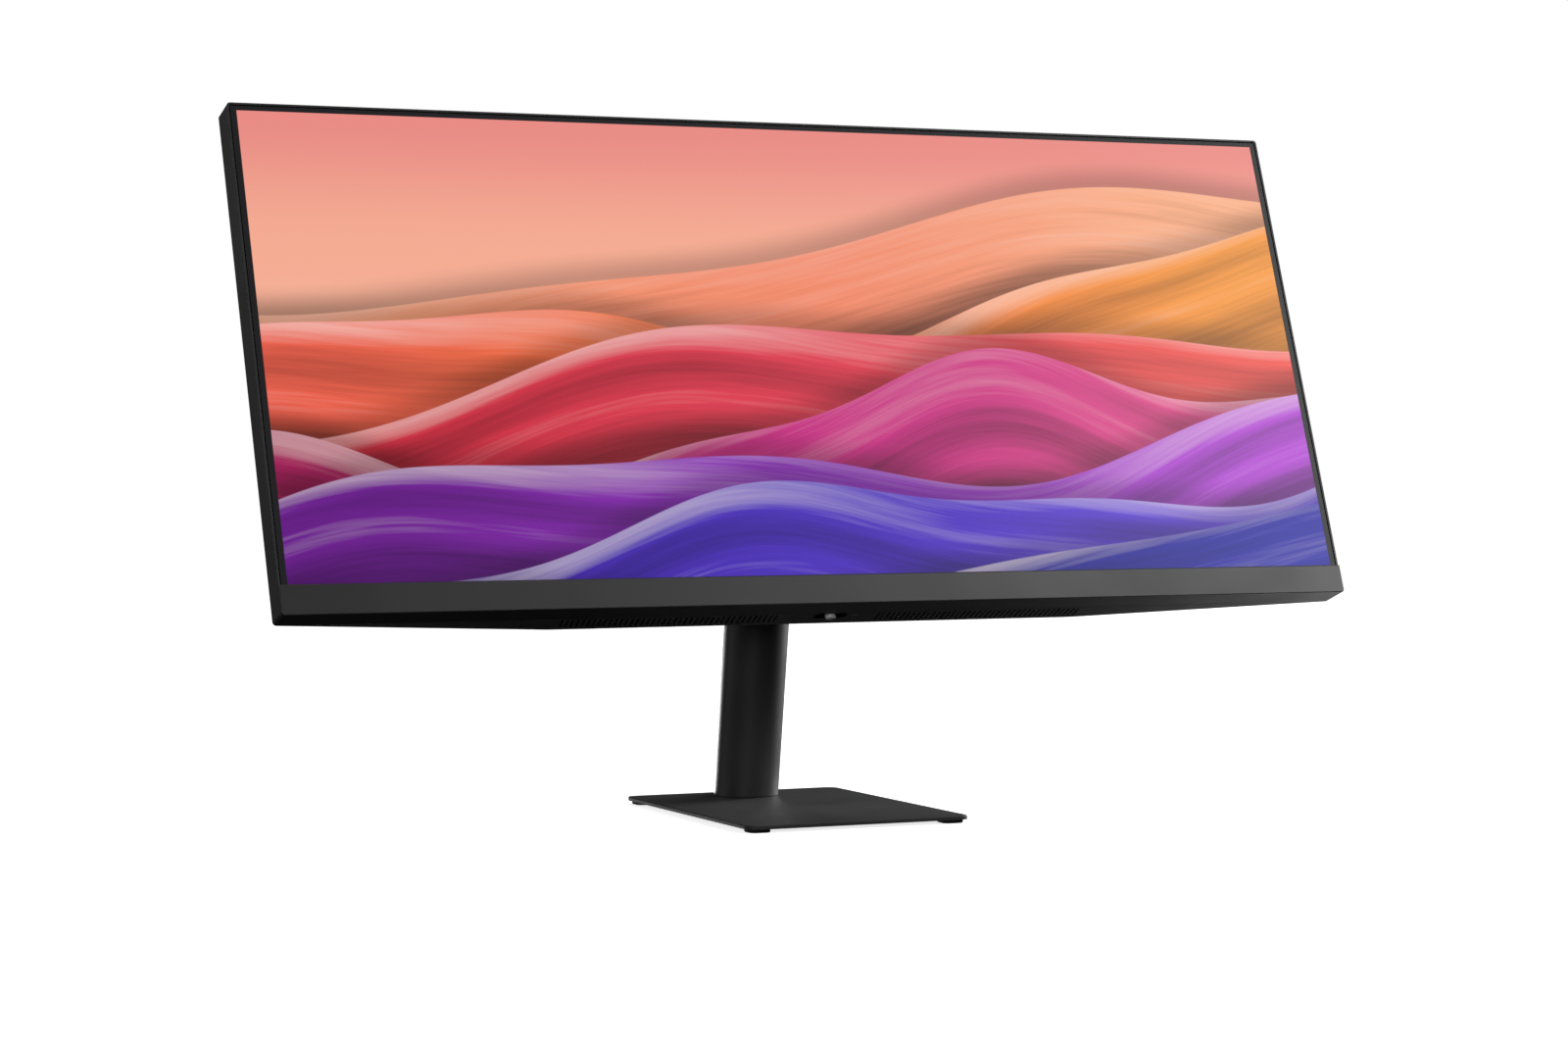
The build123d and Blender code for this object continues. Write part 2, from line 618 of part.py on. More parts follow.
with BuildPart() as display_port:
    socket_shell(DISPLAY_PORT_X, DISPLAY_PORT_HALF, DISPLAY_PORT_DEEP)
display_port.part.label = "display_port"
export_step(display_port.part, "parts/display_port.step")

with BuildPart() as dc_jack:
    slab(span(DC_X, DC_HALF[0]), span(PORT_H, DC_HALF[1]), (BOARD_REAR, PORT_REAR), DC_CORNER)
    posts([(DC_X, PORT_H)], DC_R, (PORT_REAR - DC_DEEP, PORT_REAR), Mode.SUBTRACT)
    posts([(DC_X, PORT_H)], DC_PIN_R, (PORT_REAR - DC_DEEP, PORT_REAR - TONGUE_SHORT))
dc_jack.part.label = "dc_jack"
export_step(dc_jack.part, "parts/dc_jack.step")

with BuildPart() as audio_jack:
    posts([(AUDIO_X, PORT_H)], AUDIO_R, (BOARD_REAR, PORT_REAR))
    posts([(AUDIO_X, PORT_H)], AUDIO_BORE_R, (PORT_REAR - AUDIO_BORE_DEPTH, PORT_REAR), Mode.SUBTRACT)
audio_jack.part.label = "audio_jack"
export_step(audio_jack.part, "parts/audio_jack.step")

# ---------------------------------------------------------------- flat cable, board to panel
CABLE_X = (100.0, 130.0)
CABLE_T = 0.5
CABLE_BEND = 1.5
CABLE_OFF_PAN = PAN_REAR + 3.5
CABLE_ON_BOARD = BOARD_REAR + 1.4
CABLE_ROUTE = [(CABLE_OFF_PAN, -3), (CABLE_OFF_PAN, 40), (27.5, 62), (CABLE_ON_BOARD, 62.5),
               (CABLE_ON_BOARD, 80)]

with BuildPart() as flat_cable:
    with BuildSketch(across(CABLE_X[0])):
        with BuildLine():
            FilletPolyline(*CABLE_ROUTE, radius=CABLE_BEND)
        trace(line_width=CABLE_T)
    extrude(amount=CABLE_X[1] - CABLE_X[0])
flat_cable.part.label = "flat_cable"
export_step(flat_cable.part, "parts/flat_cable.step")

# ---------------------------------------------------------------- VESA bracket and inserts
POCKET_DEPTH = 3.0
POCKET_HALF = (41.0, 39.0)
POCKET_CORNER = 6.0
POCKET_FLOOR = COVER_DEPTH - POCKET_DEPTH
BRACKET_REAR = POCKET_FLOOR - 2.0
BRACKET_T = 2.0
BRACKET_HALF = (66.0, 62.0)
BRACKET_CORNER = 5.0
BRACKET_FRONT = BRACKET_REAR - BRACKET_T
LEG_CORNER = 1.5
LEG_HALF = 5.0
LEG_X = BRACKET_HALF[0] - LEG_HALF
LEG_UP = BRACKET_HALF[1] - LEG_HALF
VESA = 100.0
VESA_R = 2.0
INSERT_R = 3.5
INSERT_FRONT = 45.5
VESA_POINTS = [(x, PIVOT_H + dh) for x in (-VESA / 2, VESA / 2) for dh in (-VESA / 2, VESA / 2)]
STAND_SCREW_POINTS = [(x, PIVOT_H + dh) for x in (-30, 30) for dh in (-28, 28)]
STAND_SCREW_R = 2.0

with BuildPart() as vesa_bracket:
    slab(span(0, BRACKET_HALF[0]), span(PIVOT_H, BRACKET_HALF[1]), (BRACKET_FRONT, BRACKET_REAR),
         BRACKET_CORNER)
    for leg_x in (-LEG_X, LEG_X):
        for leg_h in (PIVOT_H - LEG_UP, PIVOT_H + LEG_UP):
            slab(span(leg_x, LEG_HALF), span(leg_h, LEG_HALF), (PAN_REAR, BRACKET_REAR), LEG_CORNER)
    posts(VESA_POINTS, INSERT_R, (BRACKET_FRONT, BRACKET_REAR), Mode.SUBTRACT)
    posts(STAND_SCREW_POINTS, STAND_SCREW_R + RUN, (BRACKET_FRONT, BRACKET_REAR), Mode.SUBTRACT)
vesa_bracket.part.label = "vesa_bracket"
export_step(vesa_bracket.part, "parts/vesa_bracket.step")

with BuildPart() as vesa_inserts:
    posts(VESA_POINTS, INSERT_R, (INSERT_FRONT, COVER_DEPTH))
    posts(VESA_POINTS, VESA_R, (INSERT_FRONT, COVER_DEPTH), Mode.SUBTRACT)
vesa_inserts.part.label = "vesa_inserts"
export_step(vesa_inserts.part, "parts/vesa_inserts.step")

# ---------------------------------------------------------------- rear cover
COVER_FRONT = FRAME_DEPTH + SEAM
TONGUE_DEPTH = 3.0
TONGUE_IN = 1.8
TONGUE_T = 1.2
TONGUE_OVERLAP = 0.15
TONGUE_W = 2 * (OUTER_HALF_W - TONGUE_IN)
TONGUE_TALL = OUTER_TALL - 2 * TONGUE_IN
SCREW_BOSS_R = 6.0
SCREW_CUP_R = 4.2
SCREW_SEAT = 45.0
JOY_DEPTH = 29.5
BEZEL_HALF = (13.2, 7.0)
BEZEL_CORNER = 6.0
BEZEL_WALL = 1.2
BEZEL_BOTTOM = OUTER_BOTTOM + 0.5
BEZEL_FLOOR = -14.5
BEZEL_TOP = -13.3
STEM_HOLE_R = 3.2
LOCK_AT = (-150.0, 60.0)
LOCK_SLOT = (7.0, 3.0)
LOCK_OPENING = (span(LOCK_AT[0], LOCK_SLOT[0] / 2), span(LOCK_AT[1], LOCK_SLOT[1] / 2))
LOCK_CORNER = 0.8
LOCK_DEEP = 5.0
LOCK_PLATE_HALF = (10.0, 6.0)
LOCK_PLATE_T = 1.5
LENS_X = (17.0, 21.0)
LENS_DEPTH = (28.8, 30.2)
LENS_LONG = 4.0
LENS_SUNK = 0.4
WINDOW_DEEP = 5.0
WINDOW_CORNER = 2.0
BACKING = 2.0
BACKING_REAR = COVER_DEPTH - 1.0
PORT_WINDOW = (RECESS_FLOOR - 3.0, RECESS_FLOOR + BEYOND)
PORT_WINDOW_CORNER = 1.0

# The underside slopes up towards the back, from the frame to the bulge.
UNDER_RISE = BULGE_BOTTOM - OUTER_BOTTOM
UNDER_RUN = COVER_DEPTH - COVER_FRONT
UNDER_ANGLE = math.atan2(UNDER_RISE, UNDER_RUN)
UNDER_OUT = BACK * math.sin(UNDER_ANGLE) - UP_GLASS * math.cos(UNDER_ANGLE)
UNDERSIDE = Plane(origin=at(0, OUTER_BOTTOM, COVER_FRONT), x_dir=(1, 0, 0), z_dir=UNDER_OUT)

VENT_INNER = 33.0
VENT_OUTER = 206.0
VENT_FRONT = 1.6
VENT_REAR = 27.6
VENT_W = VENT_OUTER - VENT_INNER
VENT_D = VENT_REAR - VENT_FRONT
VENT_MID_X = (VENT_OUTER + VENT_INNER) / 2
VENT_MID_D = (VENT_REAR + VENT_FRONT) / 2
TOP_VENT_HALF_W = 138.0
TOP_VENT_H = (200.0, 222.0)

# The cover's wall is even, so its hollow starts well inside the rim where the sides slope gently.
SIDE_SLOPE = (COVER_DEPTH - COVER_FRONT) / (OUTER_HALF_W - BULGE_HALF_W)
TOP_SLOPE = (COVER_DEPTH - COVER_FRONT) / (OUTER_TOP - BULGE_TOP)
HOLLOW_X = span(0, OUTER_HALF_W - COVER_WALL / SIDE_SLOPE)
HOLLOW_H = (OUTER_BOTTOM + COVER_WALL, OUTER_TOP - COVER_WALL / TOP_SLOPE)


def wedge(front_x, front_h, rear_x, rear_h, rear, mode=Mode.ADD):
    """Volume between a rectangle at the frame and a smaller one nearer the back."""
    outlines = []
    for x_span, h_span, depth in ((front_x, front_h, COVER_FRONT), (rear_x, rear_h, rear)):
        with BuildSketch(behind(depth)) as outline:
            with Locations(((x_span[0] + x_span[1]) / 2, (h_span[0] + h_span[1]) / 2)):
                Rectangle(x_span[1] - x_span[0], h_span[1] - h_span[0])
        outlines.append(outline.sketch)
    loft(outlines, ruled=True, mode=mode)


def vent_window(side, shrink, depth, mode):
    """Rectangle let into the sloping underside on one side of the joystick."""
    with BuildSketch(UNDERSIDE) as outline:
        with Locations((side * VENT_MID_X, -VENT_MID_D)):
            RectangleRounded(VENT_W - 2 * shrink, VENT_D - 2 * shrink, WINDOW_CORNER)
    extrude(outline.sketch, amount=-depth, mode=mode)


def port_window(x, half):
    """Opening through the recess floor, loose round one socket."""
    slab(span(x, half[0] + LOOSE), span(PORT_H, half[1] + LOOSE), PORT_WINDOW, PORT_WINDOW_CORNER,
         Mode.SUBTRACT)


with BuildPart() as rear_cover:
    wedge(FRAME_X, FRAME_H, span(0, BULGE_HALF_W), (BULGE_BOTTOM, BULGE_TOP), COVER_DEPTH)
    fillet(rear_cover.edges().group_by(FRONT_TO_BACK)[-1], BULGE_EDGE)
    slab(FRAME_X, FRAME_H, (0, COVER_DEPTH + BEYOND), OUTER_CORNER, Mode.INTERSECT)
    wedge(HOLLOW_X, HOLLOW_H, span(0, BULGE_HALF_W - COVER_WALL),
          (BULGE_BOTTOM + COVER_WALL, BULGE_TOP - COVER_WALL), COVER_DEPTH - COVER_WALL,
          Mode.SUBTRACT)
    # tongue that locates in the outer frame
    with BuildSketch(behind(COVER_FRONT + TONGUE_OVERLAP)):
        with Locations((0, OUTER_MID)):
            Rectangle(TONGUE_W, TONGUE_TALL)
            Rectangle(TONGUE_W - 2 * TONGUE_T, TONGUE_TALL - 2 * TONGUE_T, mode=Mode.SUBTRACT)
    extrude(amount=TONGUE_DEPTH + TONGUE_OVERLAP)
    # pocket for the stand's bracket
    slab(span(0, POCKET_HALF[0] + BACKING), span(PIVOT_H, POCKET_HALF[1] + BACKING),
         (BRACKET_REAR, BACKING_REAR), POCKET_CORNER)
    slab(span(0, POCKET_HALF[0]), span(PIVOT_H, POCKET_HALF[1]), (POCKET_FLOOR, COVER_DEPTH + BEYOND),
         POCKET_CORNER, Mode.SUBTRACT)
    posts(STAND_SCREW_POINTS, STAND_SCREW_R + EASY, (BRACKET_FRONT, COVER_DEPTH), Mode.SUBTRACT)
    posts(VESA_POINTS, INSERT_R, (BRACKET_REAR, COVER_DEPTH + BEYOND), Mode.SUBTRACT)
    # recess for the sockets
    slab((RECESS_X[0] - BACKING, RECESS_X[1] + BACKING), (RECESS_H[0] - BACKING, RECESS_H[1] + BACKING),
         (RECESS_FLOOR - BACKING, BACKING_REAR), RECESS_CORNER + BEYOND)
    slab(RECESS_X, RECESS_H, (RECESS_FLOOR, COVER_DEPTH + BEYOND), RECESS_CORNER, Mode.SUBTRACT)
    for hdmi_x in HDMI_X:
        port_window(hdmi_x, HDMI_HALF)
    port_window(DISPLAY_PORT_X, DISPLAY_PORT_HALF)
    port_window(DC_X, DC_HALF)
    posts([(AUDIO_X, PORT_H)], AUDIO_R + LOOSE, PORT_WINDOW, Mode.SUBTRACT)
    # screw cups
    posts(COVER_SCREW_POINTS, SCREW_BOSS_R, (BOSS_END, BACKING_REAR))
    posts(COVER_SCREW_POINTS, SCREW_CUP_R, (SCREW_SEAT, COVER_DEPTH + BEYOND), Mode.SUBTRACT)
    posts(COVER_SCREW_POINTS, COVER_SCREW_R + EASY, (BOSS_END - BEYOND, COVER_DEPTH), Mode.SUBTRACT)
    # security lock slot
    slab(*LOCK_OPENING, (COVER_DEPTH - LOCK_DEEP, COVER_DEPTH + BEYOND), LOCK_CORNER, Mode.SUBTRACT)
    # windows in the underside for the joystick's bezel, the lens and the vent grilles
    with BuildSketch(along_glass(OUTER_BOTTOM - BEYOND, 0, JOY_DEPTH)):
        RectangleRounded(2 * BEZEL_HALF[0], 2 * BEZEL_HALF[1], BEZEL_CORNER)
    extrude(amount=BEZEL_TOP - OUTER_BOTTOM + BEYOND, mode=Mode.SUBTRACT)
    slab(LENS_X, (OUTER_BOTTOM - BEYOND, OUTER_BOTTOM + LENS_LONG), LENS_DEPTH, 0, Mode.SUBTRACT)
    for side in (-1, 1):
        vent_window(side, 0.0, WINDOW_DEEP, Mode.SUBTRACT)
    # window for the top grille
    slab(span(0, TOP_VENT_HALF_W), TOP_VENT_H, (COVER_DEPTH - WINDOW_DEEP, COVER_DEPTH + BEYOND),
         WINDOW_CORNER, Mode.SUBTRACT)
rear_cover.part.label = "rear_cover"
export_step(rear_cover.part, "parts/rear_cover.step")

# ---------------------------------------------------------------- vent grilles
GRILLE_T = 2.0
VENT_PITCH = 4.0
VENT_SLOT_W = 1.7
VENT_SLOT_L = 23.0
VENT_SLANT = 14.0
VENT_SLOTS = 41
TOP_SLOT_L = 18.5
TOP_SLOTS = 66

for side, node in ((-1, "vent_grille_left"), (1, "vent_grille_right")):
    with BuildPart() as vent_grille:
        vent_window(side, RUN, GRILLE_T, Mode.ADD)
        with BuildSketch(UNDERSIDE):
            with Locations((side * VENT_MID_X, -VENT_MID_D)):
                with GridLocations(VENT_PITCH, 1, VENT_SLOTS, 1):
                    SlotOverall(VENT_SLOT_L, VENT_SLOT_W, rotation=90 + VENT_SLANT)
        extrude(amount=-GRILLE_T, mode=Mode.SUBTRACT)
    vent_grille.part.label = node
    export_step(vent_grille.part, "parts/" + node + ".step")

with BuildPart() as vent_grille_top:
    slab(span(0, TOP_VENT_HALF_W - RUN), (TOP_VENT_H[0] + RUN, TOP_VENT_H[1] - RUN),
         (COVER_DEPTH - GRILLE_T, COVER_DEPTH), WINDOW_CORNER)
    with BuildSketch(behind(COVER_DEPTH)):
        with Locations((0, (TOP_VENT_H[0] + TOP_VENT_H[1]) / 2)):
            with GridLocations(VENT_PITCH, 1, TOP_SLOTS, 1):
                SlotOverall(TOP_SLOT_L, VENT_SLOT_W, rotation=90 - VENT_SLANT)
    extrude(amount=-GRILLE_T, mode=Mode.SUBTRACT)
vent_grille_top.part.label = "vent_grille_top"
export_step(vent_grille_top.part, "parts/vent_grille_top.step")

# ---------------------------------------------------------------- small pieces held by the cover
COVER_HEAD_R = 3.4
COVER_HEAD_T = 2.2
COVER_CROSS = (4.0, 0.9)
CROSS_DEEP = 1.2


def screw_heads(points, radius, seat, tall, cross):
    """Round screw heads standing on seat, each with a cross recess of that length and width."""
    posts(points, radius, (seat, seat + tall))
    for length, width in (cross, cross[::-1]):
        with BuildSketch(behind(seat + tall)) as outline:
            with Locations(*points):
                Rectangle(length, width)
        extrude(outline.sketch, amount=CROSS_DEEP, mode=Mode.SUBTRACT)


with BuildPart() as cover_screws:
    posts(COVER_SCREW_POINTS, COVER_SCREW_R, (PAN_REAR + POST_SOLID + 2 * BEYOND, SCREW_SEAT))
    screw_heads(COVER_SCREW_POINTS, COVER_HEAD_R, SCREW_SEAT, COVER_HEAD_T, COVER_CROSS)
cover_screws.part.label = "cover_screws"
export_step(cover_screws.part, "parts/cover_screws.step")

with BuildPart() as lock_slot_plate:
    slab(span(LOCK_AT[0], LOCK_PLATE_HALF[0]), span(LOCK_AT[1], LOCK_PLATE_HALF[1]),
         (COVER_DEPTH - COVER_WALL - LOCK_PLATE_T, COVER_DEPTH - COVER_WALL), LOCK_CORNER)
    slab(*LOCK_OPENING, (COVER_DEPTH - LOCK_DEEP, COVER_DEPTH), LOCK_CORNER, Mode.SUBTRACT)
lock_slot_plate.part.label = "lock_slot_plate"
export_step(lock_slot_plate.part, "parts/lock_slot_plate.step")

with BuildPart() as indicator_lens:
    slab(LENS_X, (OUTER_BOTTOM + LENS_SUNK, OUTER_BOTTOM + LENS_LONG), LENS_DEPTH)
indicator_lens.part.label = "indicator_lens"
export_step(indicator_lens.part, "parts/indicator_lens.step")

# ---------------------------------------------------------------- tilt bracket
TILT_PLATE_HALF = (40.4, 38.4)
TILT_PLATE_T = 2.5
TILT_PLATE_REAR = POCKET_FLOOR + TILT_PLATE_T
TILT_PLATE_CORNER = 5.0
BARREL_GAP = 0.5
BARREL_HALF = EAR_INNER - BARREL_GAP
BARREL_R = 9.0
ARM_HALF_H = 7.0

with BuildPart() as tilt_bracket:
    slab(span(0, TILT_PLATE_HALF[0]), span(PIVOT_H, TILT_PLATE_HALF[1]), (POCKET_FLOOR, TILT_PLATE_REAR),
         TILT_PLATE_CORNER)
    slab(span(0, BARREL_HALF), span(PIVOT_H, ARM_HALF_H), (TILT_PLATE_REAR, PIVOT_DEPTH))
    with BuildSketch(across(-BARREL_HALF)):
        with Locations((PIVOT_DEPTH, PIVOT_H)):
            Circle(BARREL_R)
    extrude(amount=2 * BARREL_HALF)
    with BuildSketch(across(-BARREL_HALF)):
        with Locations((PIVOT_DEPTH, PIVOT_H)):
            Circle(SHAFT_R + RUN)
    extrude(amount=2 * BARREL_HALF, mode=Mode.SUBTRACT)
    posts(STAND_SCREW_POINTS, STAND_SCREW_R + EASY, (POCKET_FLOOR, TILT_PLATE_REAR), Mode.SUBTRACT)
tilt_bracket.part.label = "tilt_bracket"
export_step(tilt_bracket.part, "parts/tilt_bracket.step")

STAND_HEAD_R = 3.8
STAND_HEAD_T = 2.0
STAND_CROSS = (4.4, 1.0)
STAND_SCREW_END = BRACKET_FRONT - 3.0

with BuildPart() as stand_screws:
    posts(STAND_SCREW_POINTS, STAND_SCREW_R, (STAND_SCREW_END, TILT_PLATE_REAR))
    screw_heads(STAND_SCREW_POINTS, STAND_HEAD_R, TILT_PLATE_REAR, STAND_HEAD_T, STAND_CROSS)
stand_screws.part.label = "stand_screws"
export_step(stand_screws.part, "parts/stand_screws.step")

# ---------------------------------------------------------------- joystick
# The knob hangs below the underside. It rocks about a centre inside the switch body, on a
# gimbal, and slides up to click.
JOY_H = -8.0
SWITCH_HALF = 7.0
SWITCH_H = (-11.5, -3.5)
SWITCH_CAVITY_HALF = 5.6
SWITCH_CAVITY_TOP = -4.7
GIMBAL_HALF = 5.0
GIMBAL_INNER = 3.6
GIMBAL_HALF_H = 1.5
ROCKER_HALF = 2.9
ROCKER_HALF_H = 2.0
PIVOT_PIN_R = 0.7
PIN_SPARE = 0.5
PIN_ROOTED = 0.2
PIN_SHORT = 0.4
PIN_FLUSH = 0.1
STEM_R = 1.5
STEM_TOP = -6.3
KNOB_R = 3.8
KNOB_TOP = -16.4
KNOB_BOTTOM = -23.4
KNOB_END_EDGE = 1.3
KNOB_BACK_EDGE = 0.5
SWITCH_BOARD_HALF = (16.0, 9.0)
SWITCH_BOARD_T = 1.2


def joystick_block(half, h_span, mode=Mode.ADD):
    """Square block on the joystick's axis."""
    with BuildSketch(along_glass(h_span[0], 0, JOY_DEPTH)) as outline:
        Rectangle(2 * half, 2 * half)
    extrude(outline.sketch, amount=h_span[1] - h_span[0], mode=mode)


def joystick_rod(radius, h_span, mode=Mode.ADD):
    """Round rod on the joystick's axis."""
    with BuildSketch(along_glass(h_span[0], 0, JOY_DEPTH)) as outline:
        Circle(radius)
    extrude(outline.sketch, amount=h_span[1] - h_span[0], mode=mode)


def pins_across(radius, inner, outer, mode=Mode.ADD):
    """Two pins along X through the joystick's centre."""
    for start in (inner, -outer):
        with BuildSketch(across(start)) as outline:
            with Locations((JOY_DEPTH, JOY_H)):
                Circle(radius)
        extrude(outline.sketch, amount=outer - inner, mode=mode)


def pins_back(radius, inner, outer, mode=Mode.ADD):
    """Two pins square to the glass through the joystick's centre."""
    for rear in (JOY_DEPTH + outer, JOY_DEPTH - inner):
        posts([(0, JOY_H)], radius, (rear - (outer - inner), rear), mode)


with BuildPart() as joystick_bezel:
    with BuildSketch(along_glass(BEZEL_BOTTOM, 0, JOY_DEPTH)):
        RectangleRounded(2 * BEZEL_HALF[0], 2 * BEZEL_HALF[1], BEZEL_CORNER)
    extrude(amount=BEZEL_TOP - BEZEL_BOTTOM)
    with BuildSketch(along_glass(BEZEL_BOTTOM, 0, JOY_DEPTH)):
        RectangleRounded(2 * (BEZEL_HALF[0] - BEZEL_WALL), 2 * (BEZEL_HALF[1] - BEZEL_WALL),
                         BEZEL_CORNER - BEZEL_WALL)
    extrude(amount=BEZEL_FLOOR - BEZEL_BOTTOM, mode=Mode.SUBTRACT)
    with BuildSketch(along_glass(BEZEL_FLOOR, 0, JOY_DEPTH)):
        Circle(STEM_HOLE_R)
    extrude(amount=BEZEL_TOP - BEZEL_FLOOR, mode=Mode.SUBTRACT)
joystick_bezel.part.label = "joystick_bezel"
export_step(joystick_bezel.part, "parts/joystick_bezel.step")

with BuildPart() as joystick_switch:
    joystick_block(SWITCH_HALF, SWITCH_H)
    joystick_block(SWITCH_CAVITY_HALF, (SWITCH_H[0], SWITCH_CAVITY_TOP), Mode.SUBTRACT)
    pins_across(PIVOT_PIN_R + RUN, SWITCH_CAVITY_HALF - PIN_SPARE, SWITCH_HALF, Mode.SUBTRACT)
joystick_switch.part.label = "joystick_switch"
export_step(joystick_switch.part, "parts/joystick_switch.step")

with BuildPart() as joystick_board:
    slab(span(0, SWITCH_BOARD_HALF[0]), (SWITCH_H[1], SWITCH_H[1] + SWITCH_BOARD_T),
         span(JOY_DEPTH, SWITCH_BOARD_HALF[1]))
joystick_board.part.label = "joystick_board"
export_step(joystick_board.part, "parts/joystick_board.step")

with BuildPart() as joystick_gimbal:
    joystick_block(GIMBAL_HALF, span(JOY_H, GIMBAL_HALF_H))
    joystick_block(GIMBAL_INNER, span(JOY_H, GIMBAL_HALF_H), Mode.SUBTRACT)
    pins_across(PIVOT_PIN_R, GIMBAL_HALF - PIN_ROOTED, SWITCH_HALF - PIN_SHORT)
    pins_back(PIVOT_PIN_R + RUN, GIMBAL_INNER - PIN_SPARE, GIMBAL_HALF + PIN_SPARE, Mode.SUBTRACT)
joystick_gimbal.part.label = "joystick_gimbal"
export_step(joystick_gimbal.part, "parts/joystick_gimbal.step")

with BuildPart() as joystick_rocker:
    joystick_block(ROCKER_HALF, span(JOY_H, ROCKER_HALF_H))
    pins_back(PIVOT_PIN_R, ROCKER_HALF - PIN_ROOTED, GIMBAL_HALF - PIN_FLUSH)
    joystick_rod(STEM_R + RUN, span(JOY_H, ROCKER_HALF_H), Mode.SUBTRACT)
joystick_rocker.part.label = "joystick_rocker"
export_step(joystick_rocker.part, "parts/joystick_rocker.step")

with BuildPart() as joystick_knob:
    joystick_rod(KNOB_R, (KNOB_BOTTOM, KNOB_TOP))
    fillet(joystick_knob.edges().group_by(UPWARDS)[0], KNOB_END_EDGE)
    fillet(joystick_knob.edges().group_by(UPWARDS)[-1], KNOB_BACK_EDGE)
    joystick_rod(STEM_R, (KNOB_TOP - BEYOND, STEM_TOP))
joystick_knob.part.label = "joystick_knob"
export_step(joystick_knob.part, "parts/joystick_knob.step")
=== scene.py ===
"""Looks for the desk monitor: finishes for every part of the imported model, the lit picture on its
screen, a pale studio and the camera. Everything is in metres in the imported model's frame."""
import math

import bpy
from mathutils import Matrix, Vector


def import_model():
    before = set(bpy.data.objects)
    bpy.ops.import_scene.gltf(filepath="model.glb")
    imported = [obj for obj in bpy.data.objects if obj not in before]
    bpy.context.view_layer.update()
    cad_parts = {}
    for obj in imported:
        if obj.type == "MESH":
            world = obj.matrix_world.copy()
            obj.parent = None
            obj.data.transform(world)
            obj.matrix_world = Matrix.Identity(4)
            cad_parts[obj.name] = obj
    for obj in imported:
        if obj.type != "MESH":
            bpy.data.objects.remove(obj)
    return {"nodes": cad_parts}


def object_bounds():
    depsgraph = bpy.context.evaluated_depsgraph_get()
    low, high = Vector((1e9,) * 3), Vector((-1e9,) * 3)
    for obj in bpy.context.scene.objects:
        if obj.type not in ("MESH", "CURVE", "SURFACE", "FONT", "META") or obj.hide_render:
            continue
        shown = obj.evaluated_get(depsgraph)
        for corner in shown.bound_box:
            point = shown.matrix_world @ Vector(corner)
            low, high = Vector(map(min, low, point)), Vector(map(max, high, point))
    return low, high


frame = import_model()
CAD_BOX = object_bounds()

# ---- Where the screen is ---------------------------------------------------------------------
TILT = math.radians(20)                                  # the display leans back
UP_GLASS = (0, math.sin(TILT), math.cos(TILT))           # up along the glass
INTO_GLASS = (0, math.cos(TILT), -math.sin(TILT))        # into the display
PICTURE_FOOT = (0, -0.0822, 0.1743)                      # middle of the lit picture's bottom edge
PICTURE_WIDE = 0.7998
PICTURE_TALL = 0.3371
BORDER_SOFT = 0.0002                                     # blur of the lit area's edge
FRONT_FACE = 0.0003                                      # only this much of the panel glows


def linear(code):
    """A colour written as six hex digits, as linear red, green, blue and full alpha."""
    parts = [int(code[i:i + 2], 16) / 255 for i in (0, 2, 4)]
    return tuple(c / 12.92 if c <= 0.04045 else ((c + 0.055) / 1.055) ** 2.4 for c in parts) + (1,)


